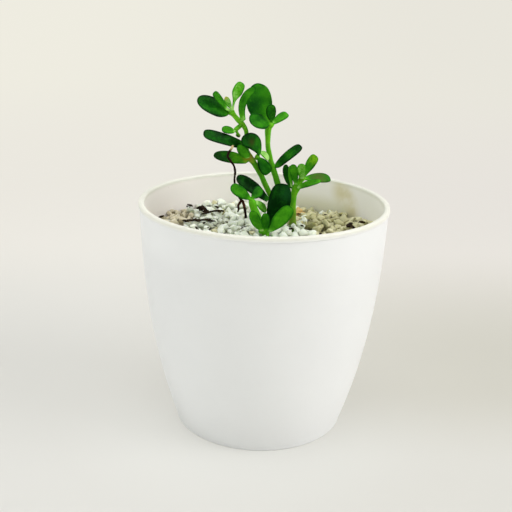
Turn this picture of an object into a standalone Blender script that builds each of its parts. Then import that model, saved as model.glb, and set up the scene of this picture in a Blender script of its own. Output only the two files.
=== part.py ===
"""A young succulent in a white plastic pot: the pot, its soil, gravel and litter, and the plant.

Everything is in metres with +Z up, and the origin is the centre of the face that the pot stands on.
Sizes below are in millimetres. Plant points are (x, y, height above the gravel), with -Y to the front.
"""

import math
import random
from collections import namedtuple

import bmesh
import bpy
from mathutils import Vector, noise

MM = 0.001
GAP = 0.3  # clearance between neighbouring pieces

# Pot
POT_HEIGHT = 103.5
RIM_RADIUS = 55.2
WALL = 2.0
WALL_BASE_RADIUS = 37.8  # the wall's outer curve, carried down to the ground
WALL_TOP_RADIUS = 54.6
BASE_FLARE = 36.5  # outward slope of the wall, in mm over the pot's height
TOP_FLARE = 2.0
LIP_HEIGHT = 2.2
FLOOR_UNDERSIDE = 1.0
FLOOR_TOP = 3.0
FOOT_OUTER_RADIUS = 37.4
FOOT_INNER_RADIUS = 34.5
DRAIN_RADIUS = 3.0
DRAIN_CIRCLE_RADIUS = 17.0
DRAIN_COUNT = 4
POT_STEPS = 72

# Fill
GRAVEL_TOP = 91.5
GRAVEL_DEPTH = 10.0
GRAVEL_BUMP = 0.9
GRAVEL_BUMP_SPACING = 3.6
GRAVEL_RINGS = 13
GRAVEL_STEPS = 56
FILL_STEPS = 56
STEM_DEPTH = 14.0  # how far the stems go down, through the gravel into the soil

# Leaves
LEAF_SIDES = 8
LEAF_SECTIONS = 10
LEAF_BASE_ROUND = 0.05  # share of the length over which the base rounds off
LEAF_TIP_ROUND = 0.2

STEM_CORNERS = 2  # bevel resolution of the stems
STEM_DIVISIONS = 2

Leaf = namedtuple("Leaf", "name base tip width neck facing arch sway widest taper blunt colour")

COLOURS = {
    "pot_white": ((0.86, 0.86, 0.83), 0.38),
    "soil_dark": ((0.06, 0.04, 0.03), 0.95),
    "gravel_pale": ((0.72, 0.71, 0.66), 0.7),
    "bark_brown": ((0.10, 0.06, 0.04), 0.85),
    "stem_green": ((0.16, 0.42, 0.04), 0.42),
    "root_brown": ((0.09, 0.03, 0.02), 0.8),
    "leaf_dark": ((0.02, 0.13, 0.03), 0.32),
    "leaf_mid": ((0.04, 0.24, 0.03), 0.34),
    "leaf_young": ((0.13, 0.42, 0.05), 0.38),
}

# Points of each stem: (x, y, height above the gravel, radius)
STEM_LEFT = [
    (5.5, 10, 0, 1.3), (4.9, 9, 8, 1.25), (1.5, 6.5, 15, 1.2), (-2, 5, 22.5, 1.2), (-4.5, 4.2, 27, 1.3),
    (-7, 3.5, 30.3, 1.25), (-8.4, 3, 33.8, 1.0), (-8.7, 2.5, 37.4, 0.95), (-8.7, 2, 41.9, 0.95),
    (-10.3, 1.5, 45.1, 1.0), (-12.8, 1, 47.6, 1.0), (-15.4, 0.6, 50.6, 0.85),
]
STEM_RIGHT = [
    (9.6, 11, 0, 1.4), (9, 10.8, 7, 1.4), (6.8, 10.2, 14, 1.4), (5.2, 9.7, 19.5, 1.35), (3.5, 9.2, 24.2, 1.3),
    (2.1, 8.7, 29, 1.15), (1, 8.1, 34, 1.1), (0.8, 7.6, 38.5, 1.2), (0.8, 7.2, 42.3, 1.4), (1.5, 7, 45, 1.2),
]
STEM_SIDE = [
    (13.2, 7, 0, 1.6), (13, 7.2, 5, 1.5), (13, 7.4, 10.5, 1.4), (13.7, 7, 15, 1.4), (15.1, 6.6, 18.4, 1.25),
    (16.9, 6, 21.6, 1.0),
]
STEM_LOW = [
    (0.8, -9.5, 0, 1.5), (-1.4, -9.6, 4.1, 1.6), (-3.4, -9.5, 8.1, 1.7), (-4.7, -9.3, 11.5, 1.5),
    (-5.5, -9, 14.2, 1.0),
]
TWIG_LEFT = [(-11.4, 0.2, 44, 0.9), (-12.3, -0.2, 43.2, 0.85), (-13, -0.8, 42.6, 0.7)]
TWIG_MIDDLE = [(-4.3, 3.4, 29.6, 0.7), (-3.8, 3.1, 30.5, 0.7), (-3.3, 2.6, 31.4, 0.65)]
TENDRIL = [
    (-12.9, -0.6, 40.9, 0.3), (-12.1, -0.7, 41.4, 0.35), (-11.5, -0.5, 40.8, 0.35), (-11.7, 0, 39.8, 0.3),
    (-12.4, 0.4, 39.4, 0.25),
]
ROOT = [
    (-8.3, 15.5, 0, 0.5), (-8.8, 13, 4.2, 0.5), (-9.6, 10.6, 8.1, 0.5), (-11.4, 8, 11, 0.45), (-12.7, 5, 15, 0.4),
    (-13.4, 2, 20.3, 0.4), (-13.1, -0.8, 24.6, 0.4), (-13.6, -2.4, 27.7, 0.4), (-15.1, -3.6, 30.1, 0.45),
    (-16.4, -4.7, 32.4, 0.5), (-14.9, -5.2, 35.5, 0.45), (-14.3, -5.5, 36.8, 0.5),
]
ROOT_FORK = [(-10.8, 10.2, 8.2, 0.35), (-11.7, 11.4, 6, 0.35), (-11.4, 12.4, 3.6, 0.25)]

# Leaves: base, tip, width, width at the stem, the way the upper face looks, rise of the middle, sideways
# curve of the middle, widest point as a share of the length, taper of the lower half (1 is an oval, 2 a
# spoon), bluntness of the tip (2 is an oval, more is squarer), colour
LEAVES = [
    Leaf("left_01", (-16.6, 0.9, 49.8), (-29.4, -6.5, 56.3), 8.4, 1.8, (0, -0.8, 0.6), 0.3, 0, 0.44, 0.8, 2.3, "dark"),
    Leaf("left_02", (-17.3, -1.2, 52.1), (-22.5, -6.5, 59.7), 3, 1.4, (0.2, -0.9, 0.3), 0.3, 0, 0.75, 1, 3, "mid"),
    Leaf("left_03", (-14.6, -0.6, 51.8), (-10.8, -1, 63.3), 4.5, 0.9, (0.2, -0.9, 0.2), 0.3, 0.8, 0.66, 5, 3, "young"),
    Leaf("left_04", (-15.5, 1.6, 51.8), (-17.9, 2.6, 56.6), 2.6, 1, (-0.2, -0.9, 0.3), 0.2, 0, 0.6, 1, 2, "young"),
    Leaf("left_05", (-10.1, -0.6, 47.5), (-5, -4.5, 61.7), 3.6, 2.4, (-0.2, -0.9, 0.3), 0.5, 2.7, 0.6, 1, 2.5, "mid"),
    Leaf("left_06", (-13.8, -1.4, 42.5), (-19.1, -3, 43.5), 3.6, 1.5, (0, -0.8, 0.6), 0.3, 0, 0.55, 0.8, 2.4, "young"),
    Leaf("left_07", (-9.8, 1, 36), (-26.6, -8.5, 42.6), 5.5, 3.4, (0, -0.8, 0.6), 0.4, 0, 0.62, 0.7, 3, "dark"),
    Leaf("left_08", (-2.7, 1.9, 32.3), (-10.6, -6.5, 39.4), 7.2, 1.6, (0.2, -0.9, 0.4), 0.8, -2.5, 0.5, 0.8, 2.4, "dark"),
    Leaf("left_09", (-8.3, 2.3, 29), (-22.9, 6.5, 30.4), 5.6, 2.8, (0, -0.8, 0.6), 0.4, 0, 0.5, 0.9, 2.2, "mid"),
    Leaf("left_10", (-7.8, 0.7, 30.8), (-11.5, -4.5, 37.5), 4.6, 2.2, (-0.3, -0.8, 0.4), 0.3, 0, 0.5, 1, 2.4, "young"),
    Leaf("left_11", (-2.6, 4.8, 32.3), (1.2, 5.4, 28.7), 3.4, 1.2, (0.3, -0.6, 0.7), 0.6, 0.5, 0.5, 1, 2, "young"),
    Leaf("left_12", (-2.9, 2.6, 30.1), (1.6, 2.6, 23.4), 5.5, 1.6, (0.2, -0.9, 0.3), 0.3, 0, 0.6, 0.8, 2.8, "dark"),
    Leaf("left_13", (1.5, 5.2, 10.8), (-12.4, -1, 22.3), 5.9, 2.2, (0.1, -0.8, 0.5), 0.4, -0.4, 0.6, 1, 2.5, "dark"),
    Leaf("right_01", (0.6, 8.4, 45.6), (-2.4, 13.5, 60.9), 11.3, 1.8, (-0.1, -0.9, 0.3), 0.3, 2.4, 0.5, 0.7, 2.4, "dark"),
    Leaf("right_02", (0.7, 5.6, 45.4), (-7.2, -2.5, 47.1), 8.4, 1.8, (0, -0.8, 0.6), 0.5, 0, 0.55, 0.8, 2.2, "mid"),
    Leaf("right_03", (2.2, 6.1, 46.1), (1.3, 0, 54.1), 4.5, 1.4, (0.1, -0.9, 0.3), 0.3, 0, 0.6, 1, 2.6, "dark"),
    Leaf("right_04", (3.1, 7, 45.2), (9.1, 10.5, 48.8), 4.1, 2, (-0.3, -0.8, 0.5), 0.3, 0, 0.62, 0.9, 2.8, "young"),
    Leaf("right_05", (5.2, 8.6, 25.6), (15.8, 12.5, 34.2), 4.9, 2.6, (-0.4, -0.7, 0.5), 0.4, 0, 0.6, 0.6, 3, "dark"),
    Leaf("side_01", (11.6, 7.6, 16.2), (9, 11.5, 25.7), 4.2, 1.2, (-0.6, -0.8, 0), 0.3, 0, 0.6, 1, 2.2, "dark"),
    Leaf("side_02", (12.1, 5.7, 17.1), (10.9, 5.8, 26.5), 2.6, 1, (-0.8, -0.6, 0), 0.2, 0, 0.6, 1, 2, "mid"),
    Leaf("side_03", (13.9, 4.8, 18.5), (12.1, 2.2, 28), 3.7, 1.4, (-0.2, -0.9, 0.2), 0.3, 0, 0.7, 1.2, 2.4, "young"),
    Leaf("side_04", (16.5, 4.2, 21.4), (15.5, -0.8, 29), 4.1, 1.6, (0, -0.9, 0.3), 0.3, 0, 0.6, 0.9, 2.6, "young"),
    Leaf("side_05", (17.5, 5.7, 22.3), (22.3, 5, 31.5), 4.7, 1.4, (-0.4, -0.8, 0.3), 0.3, 0.2, 0.65, 1.2, 3.2, "young"),
    Leaf("side_06", (15.1, 4.6, 17.2), (24.5, -2.5, 22), 3.4, 2.4, (0, -0.7, 0.7), 0.4, 0, 0.5, 0.8, 2, "young"),
    Leaf("side_07", (18.3, 6.8, 20.7), (29.7, 13.5, 19.4), 5.2, 2, (0.1, -0.7, 0.7), 0.4, 0, 0.6, 0.9, 2.4, "mid"),
    Leaf("low_01", (-6.7, -9.3, 15.4), (-14.3, -16.5, 22.1), 5, 2, (-0.3, -0.8, 0.5), 0.3, 0, 0.6, 0.9, 2.5, "young"),
    Leaf("low_02", (-5.1, -8.8, 15.4), (-1.6, -5.5, 18.9), 4.6, 1.6, (0.2, -0.9, 0.3), 0.2, 0, 0.55, 0.8, 2.4, "mid"),
    Leaf("low_03", (-3.6, -7.6, 13.2), (1, -5, 8.2), 3.8, 1.6, (0.3, -0.7, 0.6), 0.3, 0, 0.55, 0.9, 2, "mid"),
    Leaf("low_04", (-0.6, -12.2, 1.7), (-4.9, -18, 12.1), 4.8, 1.4, (-0.3, -0.8, 0.4), 0.5, 0.4, 0.6, 0.8, 2.4, "mid"),
    Leaf("low_05", (1.1, -11.6, 1.8), (0.4, -13.6, 10), 3.8, 1.2, (0, -0.9, 0.3), 0.2, 0, 0.6, 0.9, 2.2, "dark"),
    Leaf("low_06", (2.8, -11.5, 1.6), (11.3, -15, 13.5), 6.4, 1.8, (0.2, -0.9, 0.3), 0.4, 0, 0.6, 0.9, 2.6, "mid"),
    Leaf("low_07", (2.5, -8.4, 2.1), (7.2, -6, 21.3), 9.8, 2, (0.1, -0.9, 0.2), 0.3, -1.2, 0.55, 0.9, 2.8, "dark"),
]

# Bark and twig bits that lie on the gravel: x, y, length, width, thickness, heading in degrees
CHIPS = [
    (-29, 24.5, 4.8, 3.6, 3.0, 10),
    (-24.5, 19.8, 6.2, 1.2, 1.0, 20),
    (-21, 24.5, 5.5, 0.9, 0.8, -60),
    (-33.5, 4.6, 5.0, 1.6, 1.1, -8),
    (-26.6, 6.2, 6.8, 1.3, 1.1, 12),
    (-36, 26, 3.2, 1.8, 1.2, -25),
    (-45.5, 9, 2.8, 1.6, 1.0, -40),
    (38.4, -0.8, 2.4, 1.5, 1.0, 30),
]


def clear_scene():
    for old in list(bpy.data.objects):
        bpy.data.objects.remove(old, do_unlink=True)


def material(name):
    if name in bpy.data.materials:
        return bpy.data.materials[name]
    colour, roughness = COLOURS[name]
    made = bpy.data.materials.new(name)
    made.use_nodes = True
    shader = made.node_tree.nodes["Principled BSDF"]
    shader.inputs["Base Color"].default_value = (*colour, 1)
    shader.inputs["Roughness"].default_value = roughness
    shader.inputs["Metallic"].default_value = 0
    return made


def add_mesh(name, bm, colour=None):
    """A new object from a bmesh whose points are in millimetres."""
    bmesh.ops.scale(bm, vec=(MM, MM, MM), verts=bm.verts)
    bmesh.ops.recalc_face_normals(bm, faces=bm.faces)
    mesh = bpy.data.meshes.new(name)
    bm.to_mesh(mesh)
    bm.free()
    mesh.shade_smooth()
    made = bpy.data.objects.new(name, mesh)
    bpy.context.scene.collection.objects.link(made)
    if colour:
        mesh.materials.append(material(colour))
    return made


def wall_radius(z):
    """Outer radius of the pot's wall at a height, from a cubic between its two ends."""
    t = z / POT_HEIGHT
    rise = 3 * t**2 - 2 * t**3
    ends = WALL_BASE_RADIUS * (1 - rise) + WALL_TOP_RADIUS * rise
    return ends + BASE_FLARE * (t**3 - 2 * t**2 + t) + TOP_FLARE * (t**3 - t**2)


def lathe(name, profile, steps, colour):
    """A closed solid turned from (radius, height) points that start and end on the axis."""
    bm = bmesh.new()
    points = [bm.verts.new((radius, 0, z)) for radius, z in profile]
    edges = [bm.edges.new(pair) for pair in zip(points, points[1:])]
    bmesh.ops.spin(
        bm, geom=points + edges, cent=(0, 0, 0), axis=(0, 0, 1), angle=2 * math.pi, steps=steps
    )
    bmesh.ops.remove_doubles(bm, verts=bm.verts, dist=0.001)
    return add_mesh(name, bm, colour)


def cut(target, cutter):
    made = target.modifiers.new("cut", "BOOLEAN")
    made.operation = "DIFFERENCE"
    made.solver = "EXACT"
    made.object = cutter


def cylinders(name, places, bottom, top):
    """One hidden cutter with an upright cylinder at each (x, y, radius)."""
    bm = bmesh.new()
    for x, y, radius in places:
        made = bmesh.ops.create_cone(
            bm, cap_ends=True, segments=16, radius1=radius, radius2=radius, depth=top - bottom
        )
        bmesh.ops.translate(bm, vec=(x, y, (top + bottom) / 2), verts=made["verts"])
    cutter = add_mesh(name, bm)
    cutter.hide_render = True
    cutter.display_type = "WIRE"
    return cutter


def build_pot():
    lip_bottom = POT_HEIGHT - LIP_HEIGHT
    lip_inner = wall_radius(lip_bottom) - WALL
    inside = [(wall_radius(z) - WALL, z) for z in (8, 18, 32, 50, 66, 80, 91, lip_bottom)]
    lip = [
        (lip_inner + 0.3, POT_HEIGHT - 0.5),
        (lip_inner + 0.9, POT_HEIGHT),
        (RIM_RADIUS - 0.7, POT_HEIGHT),
        (RIM_RADIUS, POT_HEIGHT - 0.6),
        (RIM_RADIUS, lip_bottom + 0.3),
        (wall_radius(lip_bottom), lip_bottom),
    ]
    outside = [(wall_radius(z), z) for z in (94, 80, 64, 48, 34, 22, 13, 7)]
    foot = [
        (wall_radius(4), 4),
        (wall_radius(2), 2),
        (FOOT_OUTER_RADIUS + 0.8, 0.6),
        (FOOT_OUTER_RADIUS, 0),
        (FOOT_INNER_RADIUS, 0),
        (FOOT_INNER_RADIUS - 0.4, FLOOR_UNDERSIDE),
        (0, FLOOR_UNDERSIDE),
    ]
    floor = [(0, FLOOR_TOP), (32, FLOOR_TOP), (36, FLOOR_TOP + 1)]
    pot = lathe("pot", floor + inside + lip + outside + foot, POT_STEPS, "pot_white")
    turns = [math.radians(45) + 2 * math.pi * i / DRAIN_COUNT for i in range(DRAIN_COUNT)]
    places = [(DRAIN_CIRCLE_RADIUS * math.cos(a), DRAIN_CIRCLE_RADIUS * math.sin(a), DRAIN_RADIUS) for a in turns]
    cut(pot, cylinders("drain_cutters", places, FLOOR_UNDERSIDE - 1, FLOOR_TOP + 0.2))
    return pot


def gravel_height(x, y):
    """Height of the gravel's lumpy top."""
    place = Vector((x, y, 0)) / GRAVEL_BUMP_SPACING
    return GRAVEL_TOP + GRAVEL_BUMP * noise.noise(place)


def socket_places():
    """(x, y, radius) of the hole that each stem and the root stand in."""
    feet = [points[0] for points in (STEM_LEFT, STEM_RIGHT, STEM_SIDE, STEM_LOW, ROOT)]
    return [(x, y, radius + 2 * GAP) for x, y, _, radius in feet]


def build_fill():
    soil_top = GRAVEL_TOP - GRAVEL_DEPTH - GAP
    soil_side = [(wall_radius(z) - WALL - GAP - 0.15, z) for z in (8.5, 18, 32, 50, 66, 80, soil_top)]
    bottom = FLOOR_TOP + GAP
    soil_profile = [(0, bottom), (31.5, bottom), (35, bottom + 1.2)] + soil_side + [(0, soil_top)]
    soil = lathe("potting_soil", soil_profile, FILL_STEPS, "soil_dark")

    gravel_bottom = GRAVEL_TOP - GRAVEL_DEPTH
    bottom_radius = wall_radius(gravel_bottom) - WALL - GAP - 0.1
    top_radius = wall_radius(GRAVEL_TOP) - WALL - GAP - 0.1
    rings = [(top_radius * i / GRAVEL_RINGS, GRAVEL_TOP) for i in range(GRAVEL_RINGS, -1, -1)]
    profile = [(0, gravel_bottom), (bottom_radius, gravel_bottom)] + rings
    gravel = lathe("gravel_bed", profile, GRAVEL_STEPS, "gravel_pale")
    for vertex in gravel.data.vertices:
        if vertex.co.z > (gravel_bottom + 1) * MM:
            vertex.co.z = gravel_height(vertex.co.x / MM, vertex.co.y / MM) * MM

    places = socket_places()
    sockets = cylinders("stem_sockets", places, GRAVEL_TOP - STEM_DEPTH - GAP, GRAVEL_TOP + 3)
    cut(soil, sockets)
    cut(gravel, sockets)


def tube(name, run, colour):
    """A round rod with soft bends along a run of (x, y, height above the gravel, radius)."""
    curve = bpy.data.curves.new(name, "CURVE")
    curve.dimensions = "3D"
    curve.bevel_depth = MM
    curve.bevel_resolution = STEM_CORNERS
    curve.resolution_u = STEM_DIVISIONS
    curve.use_fill_caps = True
    spline = curve.splines.new("BEZIER")
    spline.bezier_points.add(len(run) - 1)
    for point, (x, y, height, radius) in zip(spline.bezier_points, run):
        point.co = Vector((x, y, GRAVEL_TOP + height)) * MM
        point.radius = radius
        point.handle_left_type = "AUTO"
        point.handle_right_type = "AUTO"
    curve.materials.append(material(colour))
    made = bpy.data.objects.new(name, curve)
    bpy.context.scene.collection.objects.link(made)


def planted(points):
    """The run with its foot carried straight down through the gravel into the soil."""
    x, y, _, radius = points[0]
    return [(x, y, -STEM_DEPTH, radius), (x, y, -STEM_DEPTH / 2, radius)] + points


def build_stems():
    tube("stem_left", planted(STEM_LEFT), "stem_green")
    tube("stem_right", planted(STEM_RIGHT), "stem_green")
    tube("stem_side", planted(STEM_SIDE), "stem_green")
    tube("stem_low", planted(STEM_LOW), "stem_green")
    tube("twig_left", TWIG_LEFT, "stem_green")
    tube("twig_middle", TWIG_MIDDLE, "stem_green")
    tube("tendril_left", TENDRIL, "stem_green")
    tube("aerial_root", planted(ROOT), "root_brown")
    tube("aerial_root_fork", ROOT_FORK, "root_brown")


def rounded(share):
    """0 at the end of a shape and 1 from one end-length inwards, as a quarter circle."""
    inside = min(max(share, 0), 1)
    return math.sqrt(1 - (1 - inside) ** 2)


def leaf_outline(leaf, t):
    """Half width of a leaf at t along it: a neck that opens to the widest point and a round tip."""
    if t < leaf.widest:
        opening = math.sin(math.pi / 2 * t / leaf.widest) ** leaf.taper
        return (leaf.neck + (leaf.width - leaf.neck) * opening) / 2 * rounded(t / LEAF_BASE_ROUND)
    beyond = min((t - leaf.widest) / (1 - leaf.widest), 1)
    return leaf.width / 2 * (1 - beyond**leaf.blunt) ** (1 / leaf.blunt)


def leaf_depth(t, width):
    """Half thickness of a leaf at t along it."""
    full = 0.9 + 0.1 * width
    body = 0.75 + 0.25 * math.sin(math.pi * t)
    return full / 2 * body * rounded(t / LEAF_BASE_ROUND) * rounded((1 - t) / LEAF_TIP_ROUND)


def build_leaf(leaf):
    """A ball drawn out from the leaf's base to its tip, flattened and bent."""
    base = Vector((*leaf.base[:2], GRAVEL_TOP + leaf.base[2]))
    tip = Vector((*leaf.tip[:2], GRAVEL_TOP + leaf.tip[2]))
    along = (tip - base).normalized()
    facing = Vector(leaf.facing)
    normal = (facing - facing.dot(along) * along).normalized()
    across = normal.cross(along)
    bend = 4 * (normal * leaf.arch + across * leaf.sway)
    bm = bmesh.new()
    bmesh.ops.create_uvsphere(bm, u_segments=LEAF_SIDES, v_segments=LEAF_SECTIONS, radius=1)
    for vertex in bm.verts:
        x, y, z = vertex.co
        t = (z + 1) / 2
        ring = max(math.hypot(x, y), 1e-9)
        side = x / ring * leaf_outline(leaf, t)
        height = y / ring * leaf_depth(t, leaf.width)
        heading = (tip - base + bend * (1 - 2 * t)).normalized()
        upward = (normal - normal.dot(heading) * heading).normalized()
        middle = base.lerp(tip, t) + bend * t * (1 - t)
        vertex.co = middle + upward.cross(heading) * side + upward * height
    add_mesh("leaf_" + leaf.name, bm, "leaf_" + leaf.colour)


def build_chips():
    """Uneven bark chips and twig bits, each seated on the highest gravel under it."""
    draw = random.Random(7)
    for number, (x, y, length, width, thickness, heading) in enumerate(CHIPS, 1):
        bm = bmesh.new()
        bmesh.ops.create_icosphere(bm, subdivisions=1, radius=0.5)
        turn = math.radians(heading)
        across = Vector((-math.sin(turn), math.cos(turn), 0))
        along = Vector((math.cos(turn), math.sin(turn), 0))
        reach = max(length, width) / 2
        steps = [reach * k / 4 for k in range(-4, 5)]
        ground = max(gravel_height(x + dx, y + dy) for dx in steps for dy in steps)
        for vertex in bm.verts:
            local = vertex.co * (1 + draw.uniform(-0.18, 0.12))
            flat = Vector((x, y, 0)) + along * local.x * length + across * local.y * width
            vertex.co = flat + Vector((0, 0, local.z * thickness))
        lowest = min(vertex.co.z for vertex in bm.verts)
        bmesh.ops.translate(bm, vec=(0, 0, ground + GAP - lowest), verts=bm.verts)
        add_mesh(f"bark_chip_{number:02d}", bm, "bark_brown")


clear_scene()
build_pot()
build_fill()
build_stems()
for each in LEAVES:
    build_leaf(each)
build_chips()
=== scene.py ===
"""Looks of the potted succulent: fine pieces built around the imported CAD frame, their materials,
the stage and the camera.

Sizes in the tables are in millimetres. Plant points are (x, y, height above the gravel), with -Y to
the front.
"""

import math
import random
from collections import namedtuple

import bmesh
import bpy
import numpy as np
from mathutils import Matrix, Vector, noise


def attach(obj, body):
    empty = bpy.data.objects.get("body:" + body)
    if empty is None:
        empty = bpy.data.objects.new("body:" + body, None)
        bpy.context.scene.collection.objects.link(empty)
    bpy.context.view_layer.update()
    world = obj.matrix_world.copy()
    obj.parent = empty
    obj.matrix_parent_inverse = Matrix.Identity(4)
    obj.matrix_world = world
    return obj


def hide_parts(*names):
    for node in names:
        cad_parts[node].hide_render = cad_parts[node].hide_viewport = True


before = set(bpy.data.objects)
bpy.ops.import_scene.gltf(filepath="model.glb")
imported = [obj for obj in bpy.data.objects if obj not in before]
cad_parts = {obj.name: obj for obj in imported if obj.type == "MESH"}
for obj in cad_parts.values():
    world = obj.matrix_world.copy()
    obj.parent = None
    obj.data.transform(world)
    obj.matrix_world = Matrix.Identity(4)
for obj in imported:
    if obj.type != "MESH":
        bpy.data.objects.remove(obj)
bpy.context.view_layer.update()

MM = 0.001

# Pot, as in the CAD
POT_HEIGHT = 103.5
RIM_RADIUS = 55.2
WALL = 2.0
WALL_BASE_RADIUS = 37.8
WALL_TOP_RADIUS = 54.6
BASE_FLARE = 36.5
TOP_FLARE = 2.0
LIP_HEIGHT = 2.2
FOOT_OUTER_RADIUS = 37.4
FOOT_INNER_RADIUS = 34.5
DRAIN_RADIUS = 3.0
DRAIN_CIRCLE_RADIUS = 17.0
DRAIN_COUNT = 4
POT_STEPS = 192

# Gravel
GRAVEL_TOP = 91.5
GRAVEL_LAYER = 5.4  # depth of loose stones over the dark ground
BACK_DIP = 3.4  # how much lower the gravel lies behind the plant, towards the right
DIP_CENTRE = (20, 48)
DIP_REACH = 30
STONE_TRIES = 1350
STONE_RADIUS = (0.9, 2.3, 1.5)  # least, greatest and most likely
GRAVEL_SEED = 11
AMBER_PLACE = (17, 38)
AMBER_REACH = 3.5
INNER_WALL_REACH = 52.7
STONE_SHAPES = 40
STONE_RIM_CLEARANCE = 0.3

FLOOR_EVEN_SHARE = 0.64  # how much of the floor's look at the pot's foot is plain colour
FLOOR_FLAT = 1600
FLOOR_BEND = 900
BACKDROP_TOP = 2600
STUDIO_STRENGTH = 0.60

# Camera: point looked at, distance in metres, tilt down and roll in degrees
CAMERA_TARGET = (-3.0, 0, 77.4)
CAMERA_DISTANCE = 0.4
CAMERA_TILT = 18.7
CAMERA_ROLL = 1.58
CAMERA_LENS = 62.4

# Lamps: name, place in metres, size in metres, watts, colour
LAMPS = [
    ("window", (2.3, -0.65, 1.7), 1.5, 40.0, (1.0, 0.98, 1.0)),
    ("ceiling", (-0.3, 0.2, 3.0), 1.8, 29.0, (1.0, 1.0, 0.99)),
    ("left_fill", (-2.2, -1.0, 1.2), 1.6, 8.8, (1.0, 1.0, 0.99)),
]

# Leaves
LEAF_SIDES = 28
LEAF_SECTIONS = 34

Leaf = namedtuple("Leaf", "name base tip width neck facing arch sway widest taper blunt look tone")

# Points of each stem: (x, y, height above the gravel, radius)
STEM_LEFT = [
    (5.5, 10, 0, 1.3), (4.9, 9, 8, 1.25), (1.5, 6.5, 15, 1.2), (-2, 5, 22.5, 1.2), (-4.5, 4.2, 27, 1.3),
    (-7, 3.5, 30.3, 1.25), (-8.4, 3, 33.8, 1.0), (-8.7, 2.5, 37.4, 0.95), (-8.7, 2, 41.9, 0.95),
    (-10.3, 1.5, 45.1, 1.0), (-12.8, 1, 47.6, 1.0), (-15.4, 0.6, 50.6, 0.85),
]
STEM_RIGHT = [
    (9.6, 11, 0, 1.4), (9, 10.8, 7, 1.4), (6.8, 10.2, 14, 1.4), (5.2, 9.7, 19.5, 1.35),
    (3.5, 9.2, 24.2, 1.3),
    (2.1, 8.7, 29, 1.15), (1, 8.1, 34, 1.1), (0.8, 7.6, 38.5, 1.2), (0.8, 7.2, 42.3, 1.4),
    (1.5, 7, 45, 1.2),
]
STEM_SIDE = [
    (13.2, 7, 0, 1.6), (13, 7.2, 5, 1.5), (13, 7.4, 10.5, 1.4), (13.7, 7, 15, 1.4), (15.1, 6.6, 18.4, 1.25),
    (16.9, 6, 21.6, 1.0),
]
STEM_LOW = [
    (0.8, -9.5, 0, 1.5), (-1.4, -9.6, 4.1, 1.6), (-3.4, -9.5, 8.1, 1.7), (-4.7, -9.3, 11.5, 1.5),
    (-5.5, -9, 14.2, 1.0),
]
TWIG_LEFT = [(-10.9, 1, 44.9, 0.95), (-12.2, 0.2, 43.9, 0.95), (-13.3, -0.7, 43.1, 0.8)]
TWIG_MIDDLE = [(-4.3, 3.4, 29.6, 0.7), (-3.8, 3.1, 30.5, 0.7), (-3.3, 2.6, 31.4, 0.65)]
TENDRIL = [
    (-13.1, -0.5, 43, 0.65), (-12.7, -0.6, 42.1, 0.6), (-12.2, -0.6, 41.3, 0.55), (-11.6, -0.4, 40.7, 0.5),
    (-11.7, -0.1, 40.1, 0.4), (-12.3, 0, 40.1, 0.4), (-12.8, -0.2, 40.7, 0.45),
]
ROOT = [
    (-8.3, 15.5, 0, 0.6), (-8.8, 13, 4.2, 0.6), (-9.6, 10.6, 8.1, 0.6), (-11.4, 8, 11, 0.5),
    (-12.7, 5, 15, 0.45),
    (-13.4, 2, 20.3, 0.45), (-13.1, -0.8, 24.6, 0.5), (-13.6, -2.4, 27.7, 0.45), (-15.1, -3.6, 30.1, 0.5),
    (-16.4, -4.7, 32.4, 0.55), (-14.9, -5.2, 35.5, 0.5), (-14.3, -5.5, 36.8, 0.6),
]
ROOT_FORK = [(-10.4, 10, 8.6, 0.6), (-11.7, 11.2, 6.2, 0.6), (-11.6, 12.2, 4.2, 0.5), (-11.9, 12.8, 2.8, 0.4)]

# Splinters that make up each bark chip: x, y, length, thickness, heading in degrees, lift
CHIPS = [
    [(-28.8, 23.5, 4.2, 2.0, 55, 0.3), (-30.0, 21.5, 3.6, 1.7, -20, 0.6), (-28.0, 20.5, 4.8, 1.9, -60, 0.6),
     (-29.8, 22.5, 3.4, 1.7, 10, 1.1), (-27.0, 19.0, 3.0, 1.4, 5, 0.8)],
    [(-25.6, 17.4, 7.0, 1.2, -4, 0.4), (-23.0, 19.6, 3.4, 1.0, 12, 0.5)],
    [(-22, 25, 7.5, 1.0, -78, 0.5), (-20.8, 19.8, 4.2, 1.3, -50, 0.5), (-19.6, 19.6, 2.4, 1.3, 10, 0.7)],
    [(-35.2, 5.2, 4.6, 1.3, -50, 0.3), (-32.6, 5.0, 4.6, 1.2, 35, 0.3)],
    [(-30.0, 4.6, 4.4, 1.4, -35, 0.3), (-27.0, 6.6, 6.4, 1.2, 4, -0.2), (-24.2, 6.0, 4.8, 1.1, 6, 0.3),
     (-26.8, 3.4, 2.6, 1.1, 80, -0.2)],
    [(-34.6, 24.0, 4.4, 1.2, -50, 0.8)],
    [(-47.2, 11.2, 3.8, 1.2, 50, 0.5), (-46.4, 12.4, 1.8, 0.9, 20, 0.4)],
    [(37.8, 1.6, 3.6, 1.9, 70, 0.5), (39.0, 4.0, 3.6, 1.7, 60, 0.6), (39.8, 2.0, 2.8, 1.5, -40, 0.5)],
]

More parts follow.
